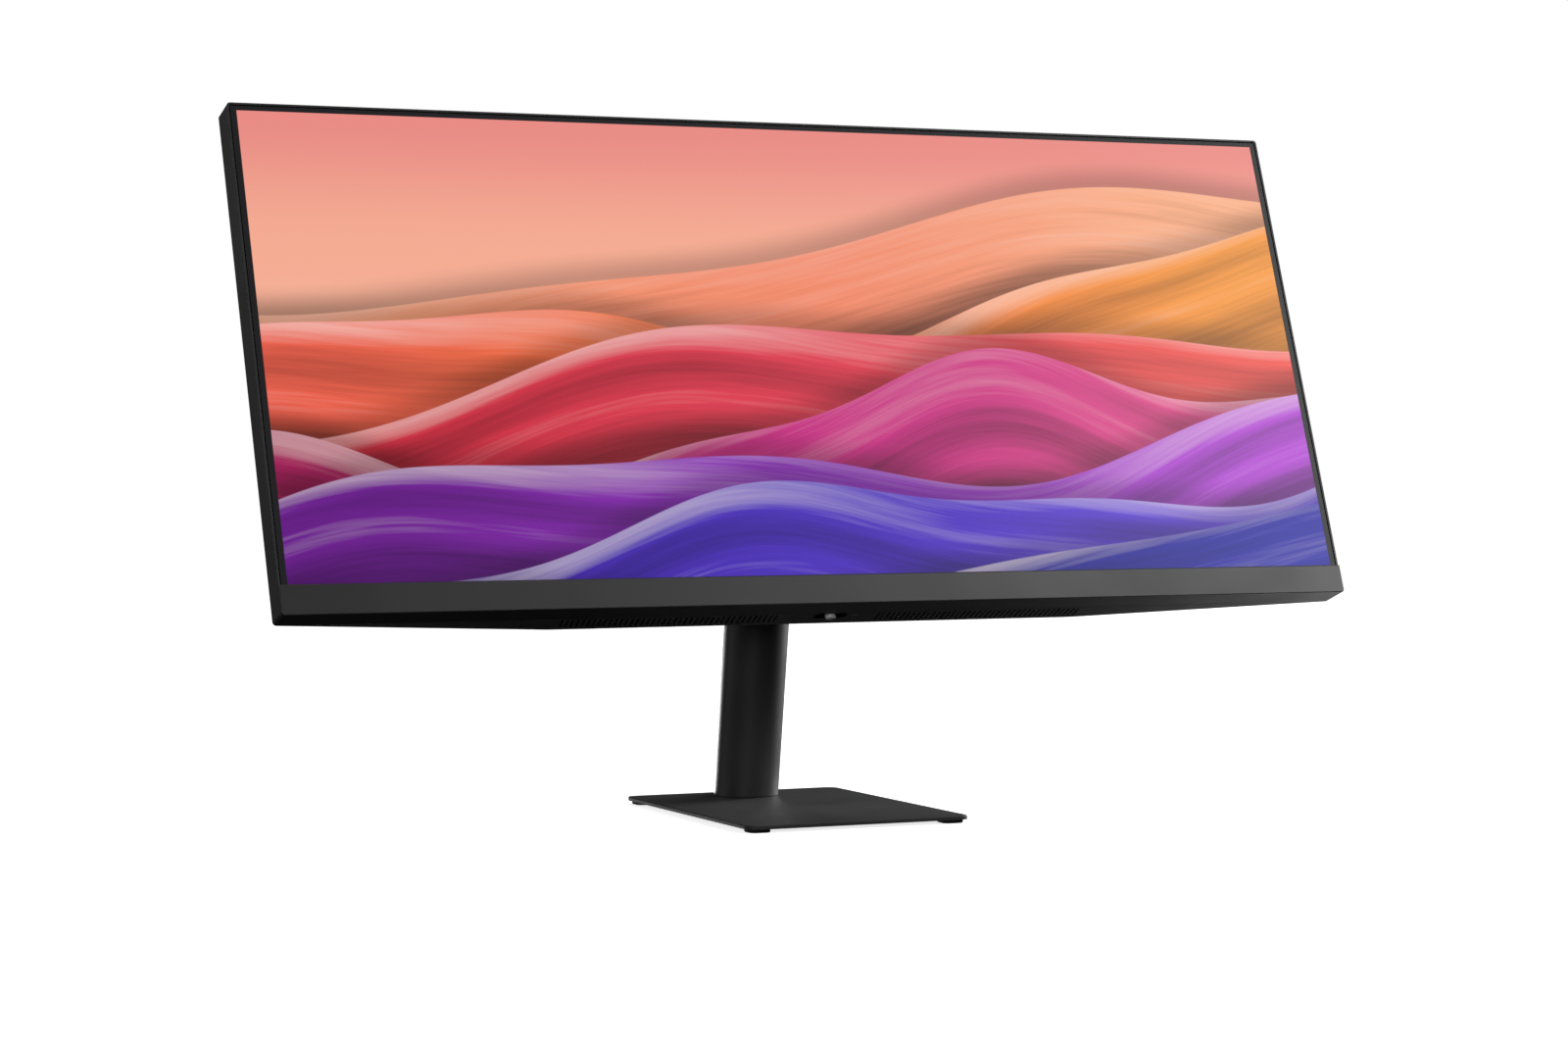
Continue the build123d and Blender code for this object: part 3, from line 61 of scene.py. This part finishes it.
class Material:
    """One node material on the Principled shader, with short calls for the nodes that it needs."""

    def __init__(self, name, **plain):
        self.made = bpy.data.materials.new(name)
        self.made.use_nodes = True
        self.tree = self.made.node_tree
        self.shader = self.tree.nodes["Principled BSDF"]
        self.place = self.tree.nodes.new("ShaderNodeTexCoord").outputs["Object"]
        for socket, value in plain.items():
            self.shader.inputs[socket.replace("_", " ")].default_value = value

    def feed(self, socket, value):
        """Links an output to a node's input, or sets the input to a number or colour."""
        if isinstance(value, bpy.types.NodeSocket):
            self.tree.links.new(value, socket)
        else:
            socket.default_value = value

    def node(self, kind, settings=(), **inputs):
        made = self.tree.nodes.new("ShaderNode" + kind)
        for key, value in dict(settings).items():
            setattr(made, key, value)
        for key, value in inputs.items():
            self.feed(made.inputs[int(key[1:])], value)
        return made

    def maths(self, operation, a, b=0.0, c=0.0):
        return self.node("Math", {"operation": operation}, i0=a, i1=b, i2=c).outputs[0]

    def dot(self, vector, axis):
        made = self.node("VectorMath", {"operation": "DOT_PRODUCT"}, i0=vector, i1=axis)
        return made.outputs["Value"]

    def vector(self, x, y, z=0.0):
        return self.node("CombineXYZ", i0=x, i1=y, i2=z).outputs[0]

    def stretch(self, scale):
        return self.node("VectorMath", {"operation": "MULTIPLY"}, i0=self.place, i1=scale).outputs[0]

    def noise(self, vector, scale, detail=2.0, roughness=0.5):
        made = self.node("TexNoise", i0=vector, i2=scale, i3=detail, i4=roughness)
        return made.outputs["Fac"]

    def fit(self, value, low, high, to_low=0.0, to_high=1.0, soft=False):
        style = {"interpolation_type": "SMOOTHSTEP" if soft else "LINEAR"}
        return self.node("MapRange", style, i0=value, i1=low, i2=high, i3=to_low,
                         i4=to_high).outputs[0]

    def blend(self, below, above, share, how="MIX"):
        made = self.node("Mix", {"data_type": "RGBA", "blend_type": how}, i0=share, i6=below,
                         i7=above)
        return made.outputs[2]

    def ramp(self, value, stops, ease="LINEAR"):
        """A colour ramp of (place, hex colour) stops."""
        made = self.node("ValToRGB", i0=value)
        made.color_ramp.interpolation = ease
        elements = made.color_ramp.elements
        while len(elements) < len(stops):
            elements.new(0.5)
        for element, (at, code) in zip(elements, stops):
            element.position = at
            element.color = linear(code)
        return made.outputs[0]

    def bump(self, height, strength, distance):
        made = self.node("Bump", {}, i0=strength, i1=distance)
        self.feed(made.inputs["Height"], height)
        self.tree.links.new(made.outputs[0], self.shader.inputs["Normal"])

    def colour(self, value):
        self.feed(self.shader.inputs["Base Color"], value)

    def rough(self, value):
        self.feed(self.shader.inputs["Roughness"], value)


# ---- Finishes --------------------------------------------------------------------------------
def moulded(name, dark, light, rough, grain, depth, **plain):
    """A moulded or painted surface: cloudy colour, uneven gloss and a fine grain of that size."""
    m = Material(name, **plain)
    cloud = m.noise(m.place, 14, 3)
    m.colour(m.ramp(cloud, [(0.3, dark), (0.7, light)]))
    speck = m.noise(m.place, 1 / grain, 2, 0.6)
    m.rough(m.fit(m.maths("ADD", cloud, m.maths("MULTIPLY", speck, 0.5)), 0.4, 1.1,
                  rough[0], rough[1]))
    m.bump(speck, 0.5, depth)
    return m.made


def brushed(name, dark, light, rough, along, **plain):
    """Metal with fine lines: along says how short the lines are each way."""
    m = Material(name, Metallic=1.0, **plain)
    lines = m.noise(m.stretch(along), 1.0, 3, 0.65)
    cloud = m.noise(m.place, 22, 2)
    m.colour(m.ramp(m.maths("ADD", m.maths("MULTIPLY", lines, 0.6), m.maths("MULTIPLY", cloud, 0.4)),
                    [(0.35, dark), (0.65, light)]))
    m.rough(m.fit(lines, 0.3, 0.7, rough[0], rough[1]))
    m.bump(lines, 0.3, 0.00005)
    return m.made


def clear_sheet(name, tint, rough, **plain):
    """Clear or milky plastic with a faint unevenness."""
    m = Material(name, **plain)
    cloud = m.noise(m.place, 30, 2)
    m.colour(m.blend(linear(tint), (1, 1, 1, 1), m.fit(cloud, 0.3, 0.7, 0.0, 0.25)))
    m.rough(m.fit(cloud, 0.3, 0.7, rough[0], rough[1]))
    return m.made


def circuit_board():
    """Green solder mask over copper tracks, with tinned pads."""
    m = Material("circuit_board", IOR=1.5, Coat_Weight=0.3, Coat_Roughness=0.2)
    tracks = m.node("TexBrick", {"offset": 0.5}, i0=m.place, i4=160.0, i5=0.03).outputs["Fac"]
    pads = m.node("TexVoronoi", {"feature": "F1"}, i0=m.place, i2=240.0).outputs["Distance"]
    pad = m.fit(pads, 0.16, 0.2, 1.0, 0.0)
    mask = m.ramp(m.noise(m.place, 60, 2), [(0.35, "0b3d1c"), (0.7, "12582a")])
    m.colour(m.blend(m.blend(mask, linear("2a7a3c"), tracks), linear("b9bcc0"), pad))
    m.rough(m.fit(pad, 0.0, 1.0, 0.38, 0.25))
    m.bump(m.maths("ADD", tracks, pad), 0.4, 0.00006)
    return m.made


def flat_cable():
    """White ribbon cable with printed conductors showing as fine stripes."""
    m = Material("flat_cable", IOR=1.46)
    stripes = m.node("TexWave", {"wave_type": "BANDS", "bands_direction": "X"}, i0=m.place,
                     i1=300.0, i2=0.0).outputs["Fac"]
    m.colour(m.ramp(stripes, [(0.35, "dcdcd4"), (0.6, "a9a8a2")]))
    m.rough(m.fit(stripes, 0.0, 1.0, 0.5, 0.35))
    m.bump(stripes, 0.4, 0.0001)
    return m.made


def led_strip():
    """White circuit strip with a row of small yellow light emitters."""
    m = Material("led_strip", IOR=1.5)
    cells = m.node("TexWave", {"wave_type": "BANDS", "bands_direction": "X"}, i0=m.place,
                   i1=40.0, i2=0.0).outputs["Fac"]
    chip = m.fit(cells, 0.8, 0.86)
    m.colour(m.blend(linear("e6e6df"), linear("e9c84a"), chip))
    m.rough(m.fit(chip, 0.0, 1.0, 0.5, 0.22))
    m.bump(chip, 0.5, 0.0004)
    return m.made


# ---- The lit picture -------------------------------------------------------------------------
# A plain wallpaper of soft waves, back to front. Each has the level of its crest, how far the crest
# swings, how many swings cross the picture, where they start, how much it rises to the right, how
# many folds lie under it, and its colours from left to right.
SKY = ["f7c9a8", "f4ab92", "e88b84"]
CREST_SOFT = 0.003                       # blur of a crest's edge, as a share of the height
SHADOW_REACH = 0.07                      # how far a crest's shadow reaches up
TRACE = 1e-7                             # too little colour to see
WAVES = [
    (0.62, 0.07, 0.8, 0.60, 0.22, 2.0, ["f3a27c", "f08a6a", "f6b088"]),
    (0.46, 0.09, 1.1, 0.15, 0.26, 3.0, ["e8604c", "f07a3c", "f29a3e"]),
    (0.36, 0.08, 0.9, 0.85, 0.24, 3.5, ["c42a3e", "dc3c50", "ee5a52"]),
    (0.24, 0.09, 1.3, 0.40, 0.22, 3.0, ["a01e58", "c42a80", "e0508c"]),
    (0.13, 0.08, 1.0, 0.05, 0.24, 4.0, ["6a1c8c", "8a2cb4", "b44ad2"]),
    (0.02, 0.07, 1.2, 0.70, 0.22, 3.5, ["341a86", "4a2cb8", "6a4ada"]),
    (-0.08, 0.05, 0.9, 0.30, 0.18, 3.0, ["16104e", "1e1a78", "2c2ca4"]),
]


class Picture:
    """Waves of silk over a sky, drawn across (0 to 1) and up (0 to 1)."""

    def __init__(self, m, x, y):
        self.m = m
        self.x = x
        self.y = y
        self.shown = m.ramp(y, [(0.3, SKY[0]), (0.7, SKY[1]), (1.0, SKY[2])], "EASE")

    def swing(self, along, cycles, start):
        """A sine with that many cycles across the picture, starting that far into one."""
        turn = self.m.maths("MULTIPLY_ADD", along, 2 * math.pi * cycles, 2 * math.pi * start)
        return self.m.maths("SINE", turn)

    def wave(self, level, height, cycles, start, rise, folds, hues):
        """Covers all that lies under one crest: bright along the crest, folded and darker below,
        with a soft shadow on what is behind it."""
        m = self.m
        # A trace of the colour so far makes the renderer finish one wave before the next one.
        x, y = (m.maths("MULTIPLY_ADD", self.shown, TRACE, way) for way in (self.x, self.y))
        crest = m.maths("MULTIPLY_ADD", self.swing(x, cycles, start), height,
                        m.maths("MULTIPLY_ADD", x, rise, level))
        crest = m.maths("MULTIPLY_ADD", self.swing(x, 2.3 * cycles, 3 * start), 0.3 * height, crest)
        depth = m.maths("SUBTRACT", crest, y)
        drift = m.maths("MULTIPLY_ADD", self.swing(x, 0.7 * cycles, start + 0.3), 0.06, depth)
        light = m.maths("MULTIPLY_ADD", self.swing(drift, 2 * folds, start), 0.13, 0.46)
        thread = m.noise(m.vector(m.maths("MULTIPLY", x, 5.0), m.maths("MULTIPLY", drift, 60.0),
                                  level), 1.0, 2, 0.8)
        light = m.maths("ADD", light, m.fit(thread, 0.3, 0.7, -0.07, 0.07))
        light = m.maths("ADD", light, m.fit(depth, 0.0, 0.07, 0.24, 0.0, soft=True))
        light = m.maths("SUBTRACT", light, m.fit(depth, 0.05, 0.35, 0.0, 0.2))
        silk = m.ramp(x, [(0.0, hues[0]), (0.5, hues[1]), (1.0, hues[2])], "EASE")
        silk = m.blend(silk, m.fit(light, 0.0, 0.5, 0.2, 1.0), 1.0, "MULTIPLY")
        silk = m.blend(silk, linear("fff0e8"), m.fit(light, 0.5, 1.0, 0.0, 0.5))
        shadow = m.fit(depth, -SHADOW_REACH, 0.0, 1.0, 0.62, soft=True)
        behind = m.blend(self.shown, shadow, 1.0, "MULTIPLY")
        self.shown = m.blend(behind, silk, m.fit(depth, 0.0, CREST_SOFT, soft=True))


def draw_picture(m, x, y):
    """The whole wallpaper's colour."""
    picture = Picture(m, x, y)
    for wave in WAVES:
        picture.wave(*wave)
    return picture.shown


def screen():
    """Anti-glare glass over the panel, lit only where the picture is."""
    m = Material("screen", IOR=1.5, Specular_IOR_Level=0.16)
    from_foot = m.node("VectorMath", {"operation": "SUBTRACT"}, i0=m.place, i1=PICTURE_FOOT).outputs[0]
    across = m.dot(from_foot, (1, 0, 0))
    up = m.dot(from_foot, UP_GLASS)
    behind = m.dot(from_foot, INTO_GLASS)
    x = m.maths("MULTIPLY_ADD", across, 1 / PICTURE_WIDE, 0.5)
    y = m.maths("MULTIPLY", up, 1 / PICTURE_TALL)
    side = m.maths("SUBTRACT", PICTURE_WIDE / 2, m.maths("ABSOLUTE", across))
    rise = m.maths("SUBTRACT", PICTURE_TALL / 2, m.maths("ABSOLUTE",
                   m.maths("SUBTRACT", up, PICTURE_TALL / 2)))
    edge = m.maths("MINIMUM", side, rise)
    front = m.fit(behind, FRONT_FACE, FRONT_FACE + 0.0001, 1.0, 0.0)
    lit = m.maths("MULTIPLY", m.fit(edge, 0.0, BORDER_SOFT), front)
    speck = m.noise(m.place, 9000, 2, 0.6)
    dark = m.ramp(m.noise(m.place, 12, 2), [(0.3, "08080a"), (0.7, "0b0b0d")])
    m.colour(m.blend(linear("2e2e31"), dark, lit))
    m.rough(m.fit(speck, 0.3, 0.7, 0.32, 0.4))
    m.bump(speck, 0.2, 0.00002)
    m.feed(m.shader.inputs["Emission Color"], draw_picture(m, x, y))
    m.feed(m.shader.inputs["Emission Strength"], lit)
    return m.made


FINISHES = {
    "housing": moulded("housing", "272728", "2c2c2e", (0.42, 0.6), 0.0006, 0.00006, IOR=1.5),
    "chin": moulded("chin", "29292a", "2d2d2f", (0.4, 0.52), 0.0004, 0.00002, IOR=1.5),
    "base_paint": moulded("base_paint", "2a2a2b", "2f2f31", (0.42, 0.58), 0.0005, 0.00004, IOR=1.5),
    "column_paint": moulded("column_paint", "303031", "363638", (0.36, 0.46), 0.0005, 0.00002,
                            IOR=1.5),
    "rubber": moulded("rubber", "101010", "181818", (0.75, 0.9), 0.0008, 0.0001, IOR=1.45),
    "screen": screen(),
    "film": clear_sheet("film", "f2f2ee", (0.35, 0.55), IOR=1.49),
    "acrylic": clear_sheet("acrylic", "e3eef0", (0.05, 0.12), IOR=1.49),
    "led_strip": led_strip(),
    "sheet_steel": brushed("sheet_steel", "8d9093", "b4b7ba", (0.3, 0.48), (60, 60, 900)),
    "circuit_board": circuit_board(),
    "flat_cable": flat_cable(),
    "brass": brushed("brass", "a07c34", "d0aa5a", (0.18, 0.32), (400, 2500, 400)),
    "socket_metal": brushed("socket_metal", "8a8c90", "c2c4c8", (0.2, 0.34), (300, 300, 2600)),
    "black_plastic": moulded("black_plastic", "131313", "1a1a1b", (0.4, 0.55), 0.0005, 0.00004,
                             IOR=1.5),
    "cast_metal": moulded("cast_metal", "8f9193", "b0b2b4", (0.4, 0.6), 0.0012, 0.0001,
                          Metallic=1.0),
    "hinge_steel": brushed("hinge_steel", "77797c", "a6a8ab", (0.26, 0.42), (900, 200, 900)),
    "black_screws": brushed("black_screws", "1a1a1c", "303034", (0.3, 0.45), (1200, 1200, 1200)),
    "bracket_paint": moulded("bracket_paint", "1c1c1d", "242425", (0.4, 0.55), 0.0006, 0.00005,
                             IOR=1.5),
    "plated_steel": brushed("plated_steel", "a9abae", "d8dadd", (0.12, 0.24), (1500, 1500, 300)),
    "gloss_black": moulded("gloss_black", "060606", "0c0c0d", (0.08, 0.14), 0.003, 0.000004,
                           IOR=1.5, Coat_Weight=0.6, Coat_Roughness=0.04),
    "knob": moulded("knob", "dcdce0", "f0f0f2", (0.16, 0.26), 0.0006, 0.00001, IOR=1.5,
                    Coat_Weight=0.5, Coat_Roughness=0.08),
    "lens": clear_sheet("lens", "d8dad8", (0.15, 0.3), IOR=1.49, Transmission_Weight=0.5),
}


def finish_nodes():
    """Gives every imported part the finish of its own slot."""
    for part in frame["nodes"].values():
        for holder in part.material_slots:
            slot = holder.material.name.split(".")[0]
            holder.link = "OBJECT"
            holder.material = FINISHES[slot]


# ---- Studio ----------------------------------------------------------------------------------
CAMERA_AT = (-1.0941, -2.3853, 0.2780)
CAMERA_YAW = 24.49                       # degrees to the right of straight ahead
CAMERA_PITCH = 1.49                      # degrees down
CAMERA_LENS = 84.2
SUBJECT = (0, 0, 0.28)                   # what the lamps face
FLOOR_HALF = 14.0
ROOM_LIGHT = 0.013

# Each lamp: name, place, width and height, power and what it faces. The floor lets light through, so
# two of them stand below it and light what faces down.
LAMPS = [
    ("key_right", (2.3, -1.9, 1.7), (1.4, 1.4), 56, SUBJECT),
    ("rim_right", (2.2, 0.5, 0.8), (0.9, 1.6), 62, SUBJECT),
    ("top", (0.2, 0.3, 2.6), (1.6, 1.6), 11, SUBJECT),
    ("front_left", (-1.8, -2.8, 0.75), (1.6, 0.9), 22, SUBJECT),
    ("left", (-2.4, 1.2, 0.9), (1.2, 1.2), 12, SUBJECT),
    ("back", (0.0, 2.9, -0.5), (0.8, 0.8), 40, SUBJECT),
    ("back_right", (2.6, 1.8, 0.6), (1.2, 0.8), 26, SUBJECT),
    ("under_right", (1.15, 0.75, -0.55), (0.35, 0.35), 0.9, (0.45, -0.05, 0.16)),
]


def aimed(thing, at):
    """Turns a lamp at its place to face a point."""
    thing.rotation_euler = (Vector(at) - thing.location).to_track_quat("-Z", "Y").to_euler()


def softbox(name, place, size, power, at):
    lamp = bpy.data.lights.new(name, "AREA")
    lamp.shape = "RECTANGLE"
    lamp.size = size[0]
    lamp.size_y = size[1]
    lamp.energy = power
    holder = bpy.data.objects.new(name, lamp)
    holder.location = place
    bpy.context.scene.collection.objects.link(holder)
    holder.visible_camera = False
    aimed(holder, at)


def floor():
    """A large pale floor, level with the underside of the feet."""
    low = min(CAD_BOX[0][2], 0.0)
    turns = [(-1, -1), (1, -1), (1, 1), (-1, 1)]
    corners = [(x * FLOOR_HALF, y * FLOOR_HALF, low) for x, y in turns]
    mesh = bpy.data.meshes.new("studio_floor")
    mesh.from_pydata(corners, [], [(0, 1, 2, 3)])
    made = bpy.data.objects.new("studio_floor", mesh)
    bpy.context.scene.collection.objects.link(made)
    m = Material("studio_floor", IOR=1.3)
    cloud = m.noise(m.place, 1.5, 3)
    m.colour(m.ramp(cloud, [(0.3, "f0f0f0"), (0.7, "f6f6f6")]))
    m.rough(m.fit(cloud, 0.3, 0.7, 0.85, 0.95))
    m.shader.inputs["Emission Color"].default_value = (1, 1, 1, 1)
    away = m.node("VectorMath", {"operation": "LENGTH"}, i0=m.place).outputs["Value"]
    m.feed(m.shader.inputs["Emission Strength"], m.fit(away, 0.6, 3.5, 0.78, 1.0, soft=True))
    mesh.materials.append(m.made)
    made.visible_glossy = False
    made.visible_diffuse = False
    made.visible_shadow = False


def world():
    """White where the camera looks past the model, and a dim grey room for its light."""
    made = bpy.data.worlds.new("studio")
    bpy.context.scene.world = made
    made.use_nodes = True
    tree = made.node_tree
    room = tree.nodes["Background"]
    room.inputs["Color"].default_value = (1, 1, 1, 1)
    room.inputs["Strength"].default_value = ROOM_LIGHT
    sky = tree.nodes.new("ShaderNodeBackground")
    sky.inputs["Color"].default_value = (1, 1, 1, 1)
    sky.inputs["Strength"].default_value = 1.0
    ray = tree.nodes.new("ShaderNodeLightPath")
    mix = tree.nodes.new("ShaderNodeMixShader")
    tree.links.new(ray.outputs["Is Camera Ray"], mix.inputs[0])
    tree.links.new(room.outputs[0], mix.inputs[1])
    tree.links.new(sky.outputs[0], mix.inputs[2])
    tree.links.new(mix.outputs[0], tree.nodes["World Output"].inputs["Surface"])


def camera():
    made = bpy.data.cameras.new("camera")
    made.lens = CAMERA_LENS
    made.sensor_width = 36
    made.clip_end = 100
    holder = bpy.data.objects.new("camera", made)
    holder.location = CAMERA_AT
    holder.rotation_euler = (math.radians(90 - CAMERA_PITCH), 0, math.radians(-CAMERA_YAW))
    bpy.context.scene.collection.objects.link(holder)
    bpy.context.scene.camera = holder


finish_nodes()
floor()
world()
camera()
for lamp in LAMPS:
    softbox(*lamp)
bpy.context.scene.view_settings.view_transform = "Standard"
